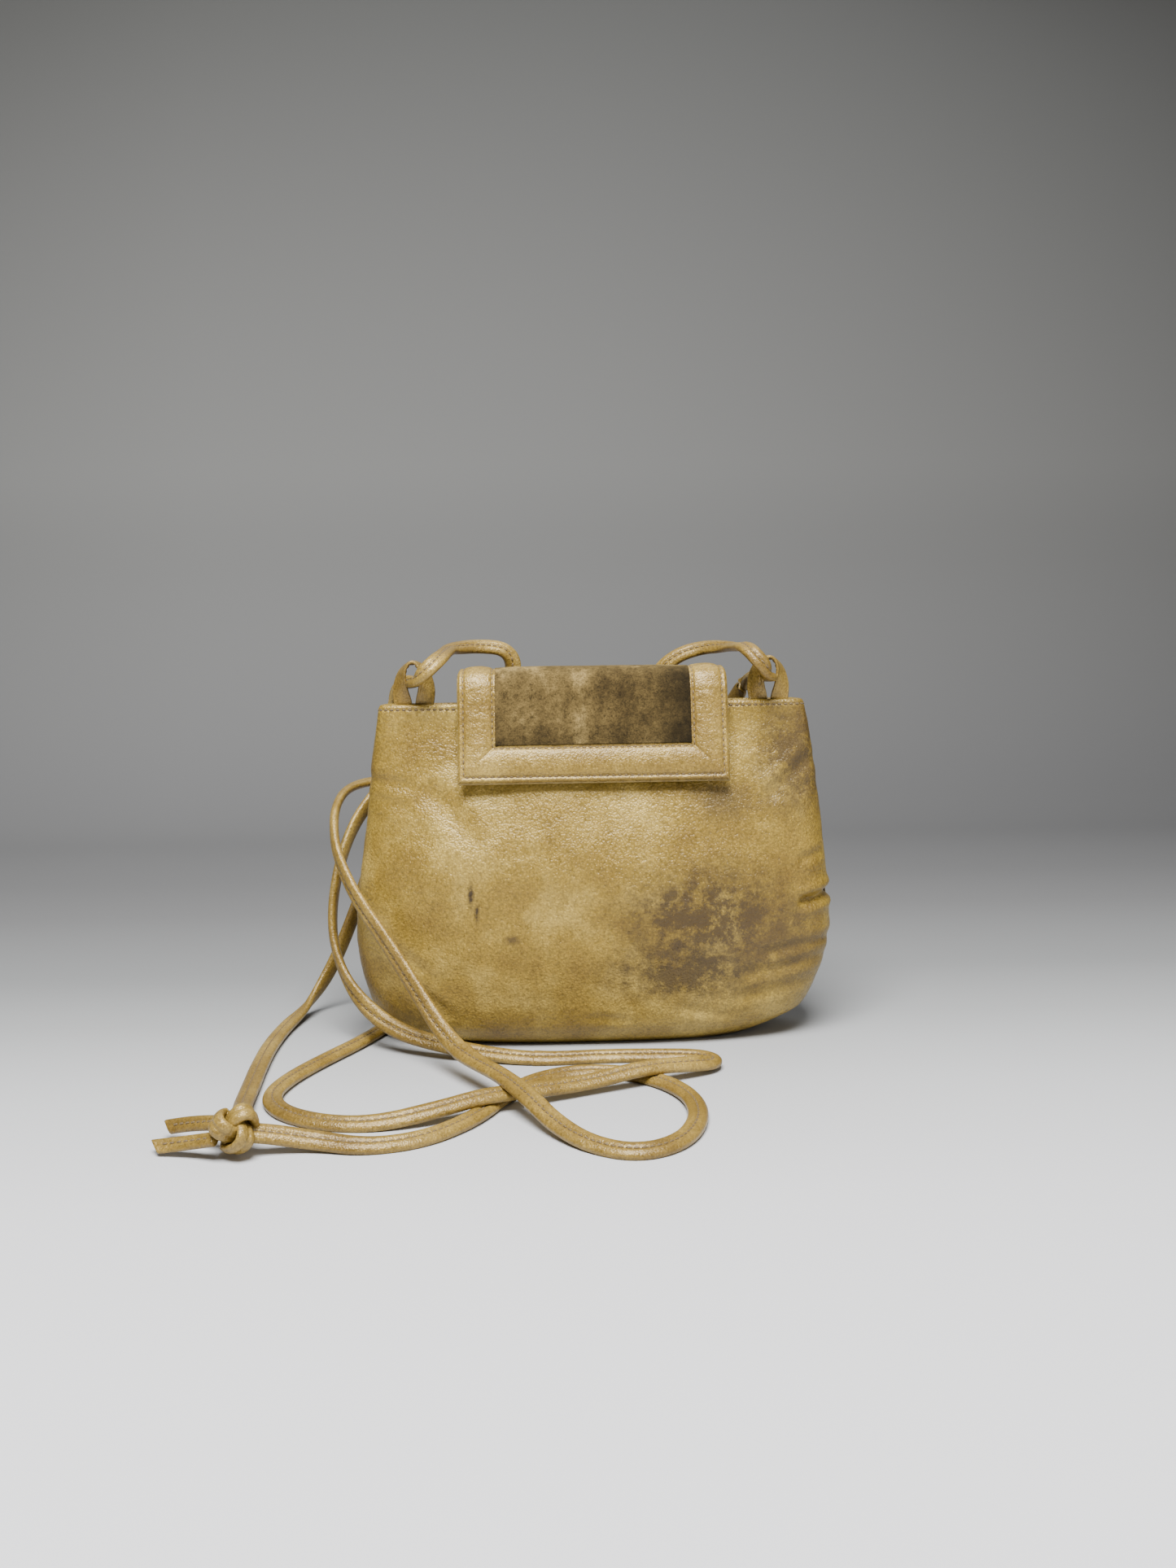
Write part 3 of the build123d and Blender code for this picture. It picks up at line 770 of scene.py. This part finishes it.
def makeLining():
    inset, floor, middle = lining["inset"], lining["floor"], lining["middle"]

    def liningPoint(u, v):
        angle = crowded(u)
        if v < middle:
            share = 0.02 + 0.98 * v / middle
            point = outline(angle, floor, inset) * share
            point.z = floor
            return point * mm
        height = floor + (lining["top"] - floor) * (v - middle) / (1 - middle)
        return wallPoint(angle, height, inset) * mm
    piece = finishPiece("liningShell", gridMesh(220, 110, liningPoint, weld=True), [liningCloth])
    rideOn(piece, "lining_cloth", "front_lining", "back_lining", "base_lining")

    low, high = lining["pocketBottom"], lining["pocketTop"]

    def pocketPoint(u, v):
        # The pocket's cloth leaves the lining at its sides and foot, and stands open at its mouth
        x = (2 * u - 1) * lining["pocketHalfWidth"]
        z = low + (high - low) * v
        stand = lining["pocketRoom"] * ease(v) * (1 - (2 * u - 1) ** 6)
        depth = along(pouch["depths"], z) * (1 - abs(x / 122) ** 2.9) ** (1 / 2.9)
        ripple = 0.3 * noise.noise(Vector((x * 0.1, 0, z * 0.1)))
        return Vector((x, depth - inset - 0.6 - stand - ripple, z)) * mm
    bm = gridMesh(80, 50, pocketPoint)
    hem = [pocketPoint(i / 200, 0.94) + Vector((0, -0.0006, 0)) for i in range(201)]
    piece = finishPiece("liningPocket", bm, [liningCloth, thread])
    thicken(piece, lining["thickness"])
    rideOn(piece, "lining_cloth", "inner_pocket")
    bm = bmesh.new()
    sewInto(bm, hem, [Vector((0, -1, 0))] * len(hem))
    rideOn(finishPiece("pocketHemStitches", bm, [thread]), "lining_cloth")


def makeBoard():
    # A thin pressed board under the lining that keeps the base flat
    low, high = baseBoard["low"], baseBoard["high"]
    face = 0.45  # the share of the rows on each face, with the edge between them

    def boardPoint(u, v):
        share = min(v / face, (1 - v) / face, 1)
        point = outline(2 * math.pi * u, 0, baseBoard["inset"]) * max(share, 0.02)
        point.z = low + (high - low) * min(max((v - face) / (1 - 2 * face), 0), 1)
        return point * mm
    piece = finishPiece("baseBoard", gridMesh(120, 40, boardPoint, weld=True), [board])
    rideOn(piece, "base_board", "base_board")


makePouch()
makeLining()
makeBoard()
print("pouch and lining made")


# The flap

flapLine = evenLine(curveLine([(0, y, z) for y, z in flap["profile"]], 24), 0.5 * mm)
flapStep = (flapLine[1] - flapLine[0]).length / mm
flapLength = flapStep * (len(flapLine) - 1)
flapTangents = tangents(flapLine)


def flapPoint(s, x, out):
    # A point of the flap: s along it from the hinge, x across, and out from its inner face
    place = min(max(s / flapStep, 0), len(flapLine) - 1.001)
    index = int(place)
    share = place - index
    ahead = flapTangents[index].lerp(flapTangents[index + 1], share).normalized()
    point = flapLine[index].lerp(flapLine[index + 1], share) + ahead * (s - place * flapStep) * mm
    return point + Vector((x * mm, 0, 0)) + Vector((0, ahead.z, -ahead.y)) * out * mm


def bendFlap(piece, slot, *nodes):
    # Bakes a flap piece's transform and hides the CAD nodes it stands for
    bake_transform(piece)
    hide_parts(*nodes)


def borderOut(w, s, x):
    # The padded border's height across its width: two sewn grooves with a dome between
    wide, seam, inner = flap["border"], flap["seamIn"], flap["border"] - flap["windowSeam"]
    across = min(max((w - seam) / (inner - seam), 0), 1)
    height = flap["borderHeight"] + flap["borderDome"] * math.sin(math.pi * across) ** 0.6
    for groove in (seam, inner):
        height -= flap["grooveDepth"] * math.exp(-((w - groove) / 0.55) ** 2)
    height -= 0.9 * (1 - ease(w / 0.9)) + 0.35 * (1 - ease((wide - w) / 0.7))
    mitre = ((flapLength - s) - (flap["halfWidth"] - abs(x))) / math.sqrt(2)
    height -= 0.5 * math.exp(-(mitre / 0.7) ** 2) * ease((w - 7) / 8)
    height += 0.22 * noise.noise(Vector((x * 0.08, s * 0.42, 2))) * ease(mitre / 4)
    return height + 0.2 * noise.noise(Vector((x * 0.13, s * 0.13, 9)))


def makeBorder():
    half, wide = flap["halfWidth"], flap["border"]
    under, lead, columns, sideColumns = flap["borderUnder"], 0.05, 376, 110
    side = sideColumns / columns
    # The section runs under the border, round its outer edge, over the dome and back at the window
    section = [(wide - 0.4, under), (wide * 0.66, under), (wide * 0.33, under), (0.35, under)]
    section += [(0.0, 1.4), (0.0, 1.9)]
    for share in [i / 44 for i in range(45)]:
        section.append((lead + (wide - lead) * (0.35 * ease(share) + 0.65 * share), None))
    section += [(wide, 2.2), (wide - 0.1, 1.3), (wide - 0.4, under)]

    def borderPoint(u, v):
        w, out = section[round(v * (len(section) - 1))]
        foot = flapLength - w
        if u < side:
            x, s = w - half, foot * u / side
        elif u <= 1 - side:
            x, s = (half - w) * (2 * (u - side) / (1 - 2 * side) - 1), foot
        else:
            x, s = half - w, foot * (1 - u) / side
        return flapPoint(s, x, borderOut(w, s, x) if out is None else out)
    bm = gridMesh(columns, len(section) - 1, borderPoint, (270, 40), weld=True, closeEnds=True)
    for w in (flap["seamIn"], wide - flap["windowSeam"]):
        foot, edge = flapLength - w, half - w
        corners = [(-edge, 0.5), (-edge, foot), (edge, foot), (edge, 0.5)]
        for (x0, s0), (x1, s1) in zip(corners, corners[1:]):
            steps = 220
            spots = [(x0 + (x1 - x0) * i / steps, s0 + (s1 - s0) * i / steps) for i in range(steps + 1)]
            line = [flapPoint(s, x, borderOut(w, s, x) + 0.12) for x, s in spots]
            normals = [(flapPoint(s, x, 1) - flapPoint(s, x, 0)).normalized() for x, s in spots]
            sewInto(bm, line, normals, 1)
    piece = finishPiece("flapBorder", bm, [borderLeather, thread])
    bendFlap(piece, "champagne_leather", "flap_top_border_left", "flap_top_border_right",
             "flap_front_border", "flap_top_core", "flap_front_core")


def makeSuede():
    half = flap["halfWidth"] - flap["border"] + 0.7
    foot = flapLength - flap["border"] + 0.7

    def suedePoint(u, v):
        x, s = (2 * u - 1) * half, foot * v
        edge = min(half - abs(x), foot - s)
        swell = 0.35 * ease(edge / 9) + 0.45 * noise.noise(Vector((x * 0.035, s * 0.05, 5)))
        nap = 0.08 * noise.noise(Vector((x * 0.4, s * 0.4, 1)))
        return flapPoint(s, x, flap["suedeHeight"] + swell * ease(edge / 5) + nap)
    piece = finishPiece("flapSuede", gridMesh(150, 150, suedePoint, (97, 90)), [suede])
    thicken(piece, flap["suedeThickness"])
    bendFlap(piece, "brown_suede", "flap_top_suede", "flap_front_suede")


def makeFlapLining():
    half, foot = flap["halfWidth"] + 0.5, flapLength + flap["lip"]
    top = flap["liningTop"]
    steps = [0.98 * (i / 20 - 1) for i in range(1, 40)]
    ring = [(-half, 0.5), (-half + 0.25, 0.15)] + [(half * step, 0.12) for step in steps]
    ring += [(half - 0.25, 0.15), (half, 0.5), (half, 0.95), (half - 0.3, top)]
    ring += [(-half * step, top) for step in steps]
    ring += [(0.3 - half, top), (-half, 0.95), (-half, 0.5)]

    def liningPoint(u, v):
        x, out = ring[round(v * (len(ring) - 1))]
        return flapPoint(foot * u, x, out)
    bm = gridMesh(120, len(ring) - 1, liningPoint, weld=True, closeEnds=True)
    piece = finishPiece("flapLining", bm, [facingLeather])
    bendFlap(piece, "champagne_leather", "flap_top_lining", "flap_front_lining")


def makeHingeStrip():
    # The leather strip that sews the flap to the back panel, and turns at the hinge
    line = evenLine(curveLine([(0, y, z) for y, z in flap["hingeStrip"]], 16), 0.6 * mm)
    ahead = tangents(line)
    half, thick = flap["hingeHalfWidth"], flap["hingeThickness"]
    steps = [0.985 * (i / 30 - 1) for i in range(1, 60)]
    ring = [(-half, 0.2), (-half, 1.0), (-half + 0.4, thick - 0.05)]
    ring += [(half * step, thick) for step in steps]
    ring += [(half - 0.4, thick - 0.05), (half, 1.0), (half, 0.2)]
    ring += [(-half * step, 0.0) for step in steps] + [(-half, 0.2)]
    outward = [Vector((0, forward.z, -forward.y)) for forward in ahead]

    def stripPoint(u, v):
        index = round(u * (len(line) - 1))
        x, out = ring[round(v * (len(ring) - 1))]
        end = min(index, len(line) - 1 - index) * 0.6
        out = out * (1 - 0.25 * (1 - ease(end / 1.2)))
        return line[index] + Vector((x * mm, 0, 0)) + outward[index] * out * mm
    bm = gridMesh(len(line) - 1, len(ring) - 1, stripPoint, weld=True, closeEnds=True)
    for index in (4, 10, len(line) - 5):
        row = [line[index] + Vector((x * mm, 0, 0)) + outward[index] * (thick + 0.1) * mm
               for x in range(3 - half, half - 2)]
        sewInto(bm, row, [outward[index]] * len(row), 1)
    piece = finishPiece("flapHingeStrip", bm, [borderLeather, thread])
    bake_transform(piece)
    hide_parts("flap_back_tab")


makeBorder()
makeSuede()
makeFlapLining()
makeHingeStrip()
for name in ("snap_socket", "snap_socket_washer", "snap_stud", "snap_stud_washer"):
    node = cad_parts[name]
    node.data.materials.clear()
    node.data.materials.append(brass)
print("flap made")


# The strap's loops

def sweepRibbon(bm, line, normals, section, shapeAt=None, ring=False):
    # Sweeps a section, points of (across, out) in millimetres, along a line of points in metres
    ahead = tangents(line)
    if ring:
        ahead[0] = ahead[-1] = (line[1] - line[-2]).normalized()
    rows = []
    for index, point in enumerate(line):
        side = normals[index].cross(ahead[index]).normalized()
        up = ahead[index].cross(side)
        row = []
        for across, out in section:
            if shapeAt:
                across, out = shapeAt(index, across, out)
            row.append(bm.verts.new(point + side * across * mm + up * out * mm))
        rows.append(row)
    if ring:
        rows[-1] = rows[0]
    flat = bm.loops.layers.uv.verify()
    count = len(section)
    for index, (row, following) in enumerate(zip(rows, rows[1:])):
        for j in range(count):
            k = (j + 1) % count
            face = bm.faces.new((row[j], row[k], following[k], following[j]))
            corners = ((index, j), (index, j + 1), (index + 1, j + 1), (index + 1, j))
            for corner, place in zip(face.loops, corners):
                corner[flat].uv = place
    if not ring:
        bm.faces.new(rows[0])
        bm.faces.new(reversed(rows[-1]))
    bmesh.ops.recalc_face_normals(bm, faces=bm.faces)


def makeLoop(name, side, node):
    # A sewn strip that stands on the rim as a teardrop and turns half round on its way over
    centre = side * loop["spacing"]
    line = evenLine(curveLine([(centre + x, loop["depth"], z) for x, z in loop["path"]], 20), 0.6 * mm)
    last = len(line) - 1
    half, thick = loop["width"] / 2, loop["thickness"] / 2
    section = []
    for i in range(32):
        turn = 2 * math.pi * i / 32
        c, s = math.cos(turn), math.sin(turn)
        w = math.copysign(abs(c) ** 0.75, c) * half
        edge = math.exp(-((abs(w) - half + loop["seamIn"]) / 0.4) ** 2)
        section.append((w, math.copysign(abs(s) ** 0.35, s) * thick * (1.1 - 0.3 * edge)))
    ahead = tangents(line)
    normals = []
    for i in range(last + 1):
        turn = math.pi * min(max((i / last - 0.05) / 0.9, 0), 1)
        across = Vector((math.cos(turn), -math.sin(turn), 0))
        normals.append(ahead[i].cross(across).normalized())
    bm = bmesh.new()
    sweepRibbon(bm, line, normals, section)
    for edge in (-1, 1):
        row = []
        for i, point in enumerate(line):
            across = normals[i].cross(ahead[i]).normalized()
            away = across * edge * (half - loop["seamIn"]) + normals[i] * 0.75 * thick
            row.append(point + away * mm)
        sewInto(bm, row[3:-3], normals[3:-3], 1, 2.2, 0.6)
    piece = finishPiece(name, bm, [strapLeather, thread])
    rideOn(piece, "champagne_leather", node)


makeLoop("rimLoopLeft", -1, "loop_left")
makeLoop("rimLoopRight", 1, "loop_right")
print("loops made")


# The strap

def strapSection(scale=1.0):
    ring = []
    half, thick = strap["halfWidth"] * scale, strap["halfThickness"] * scale
    for i in range(strap["sides"]):
        turn = 2 * math.pi * i / strap["sides"]
        w = math.cos(turn)
        out = math.copysign(max(1 - w * w, 0) ** 0.42, math.sin(turn)) * thick
        if out > 0:
            out -= strap["groove"] * scale * math.exp(-((w * half + 0.2) / 0.75) ** 2)
        ring.append((w * half, out))
    return ring


def strapNormals(line):
    # The strap lies flat on the floor and against the bag, and turns its face forward above the rim
    ahead = tangents(line)
    raw = []
    for point, forward in zip(line, ahead):
        steep = abs(forward.z)
        outward = Vector((point.x, point.y * 2.2, 0)).normalized()
        high = ease((point.z - 0.165) / 0.015)
        up = Vector((0, -strap["lean"], 1)).normalized().lerp(Vector((0, -0.8, 0.6)), high)
        against = outward.lerp(Vector((0, -0.8, 0.6)), high)
        raw.append((up * (1 - steep) ** 2 + against * (0.05 + steep)).normalized())
    reach = 14
    sums = [Vector()]
    for up in raw:
        sums.append(sums[-1] + up)
    normals = []
    for i, forward in enumerate(ahead):
        low, high = max(i - reach, 0), min(i + reach + 1, len(raw))
        up = (sums[high] - sums[low]).normalized()
        normals.append((up - forward * up.dot(forward)).normalized())
    return normals


def makeStrap(name, route, node, splice=None):
    line = evenLine(curveLine(route), strap["spacing"] * mm)
    normals = strapNormals(line)
    joined = None
    if splice:
        joined = min(range(len(line)), key=lambda i: (line[i] - Vector(splice) * mm).length)

    def shapeAt(index, across, out):
        # A skived joint: the upper end lies over the lower one with a small step
        size = 1 + 0.015 * noise.noise(Vector((index * 0.08, across * 0.3, 4)))
        if joined is not None:
            gone = index - joined
            if 0 <= gone < strap["spliceLength"]:
                size += 0.07 * (1 - gone / strap["spliceLength"])
            elif gone == -1:
                size -= 0.05
        return across * size, out * size
    bm = bmesh.new()
    sweepRibbon(bm, line, normals, strapSection(), shapeAt)
    seam = [point + normal * (strap["halfThickness"] - strap["groove"] + 0.2) * mm
            for point, normal in zip(line, normals)]
    sewInto(bm, seam, normals, 1, strap["stitchLength"], 0.7)
    piece = finishPiece(name, bm, [strapLeather, thread])
    rideOn(piece, "champagne_leather", node)


def makeKnot():
    # An overhand knot that is pulled tight, with its flat turns wrapped over each other
    size = knot["scale"]
    face = Vector(knot["facing"]).normalized()
    turned = face.to_track_quat("Z", "Y").to_matrix()
    middle = Vector(knot["middle"])
    line = []
    for i in range(knot["points"] + 1):
        t = 2 * math.pi * i / knot["points"]
        flat = Vector((math.sin(t) + 2 * math.sin(2 * t), math.cos(t) - 2 * math.cos(2 * t), 0)) * size
        flat.z = -math.sin(3 * t) * knot["depth"]
        line.append((middle + turned @ flat) * mm)
    centre = middle * mm
    ahead = tangents(line)
    ahead[0] = ahead[-1] = (line[1] - line[-2]).normalized()
    normals = []
    for point, forward in zip(line, ahead):
        up = point - centre + face * 0.002
        normals.append((up - forward * up.dot(forward)).normalized())

    def pulled(index, across, out):
        crease = 0.10 * noise.noise(Vector((index * 0.05, across * 0.9, 8)))
        return across * (1 + 0.05 * math.sin(index * 0.07)), out * (0.9 + crease)
    bm = bmesh.new()
    sweepRibbon(bm, line, normals, strapSection(knot["width"]), pulled, ring=True)
    for vert in bm.verts:
        vert.co.z = max(vert.co.z, 0.0003)
    piece = finishPiece("strapKnot", bm, [strapLeather])
    rideOn(piece, "champagne_leather", "strap_knot")
    return piece


def makeTail(name, route, node, lean):
    # A cut end of the strap, pressed flatter than the rest and cut on the slant
    line = evenLine(curveLine(route, 20), tail["spacing"] * mm)
    last = len(line) - 1
    normals = []
    for forward in tangents(line):
        up = Vector(lean)
        normals.append((up - forward * up.dot(forward)).normalized())

    def cut(index, across, out):
        left = (last - index) * tail["spacing"]
        limit = strap["halfWidth"] * (tail["slant"] * left - 0.55)
        return min(across, limit), out * (0.7 + 0.3 * (1 - index / last))
    bm = bmesh.new()
    sweepRibbon(bm, line, normals, strapSection(tail["scale"]), cut)
    seam = [point + normal * 1.2 * mm for point, normal in zip(line, normals)]
    sewInto(bm, seam[6:-10], normals[6:-10], 1, 2.1, 0.8)
    for vert in bm.verts:
        vert.co.z = max(vert.co.z, 0.0002)
    piece = finishPiece(name, bm, [strapLeather, thread])
    rideOn(piece, "champagne_leather", node)
    return piece


knotPiece = makeKnot()
tails = [makeTail("strapTailUpper", upperTailRoute, "strap_tail_upper", (0.1, -0.75, 0.65)),
         makeTail("strapTailLower", lowerTailRoute, "strap_tail_lower", (-0.05, -0.6, 0.8))]
makeStrap("strapMiddle", strapMiddleRoute, "strap_middle", (-32, -60, 2.5))
makeStrap("strapLeft", strapLeftRoute, "strap_left_run")
makeStrap("strapRight", strapRightRoute, "strap_right_run", (-66, -79, 8))
print("strap made")
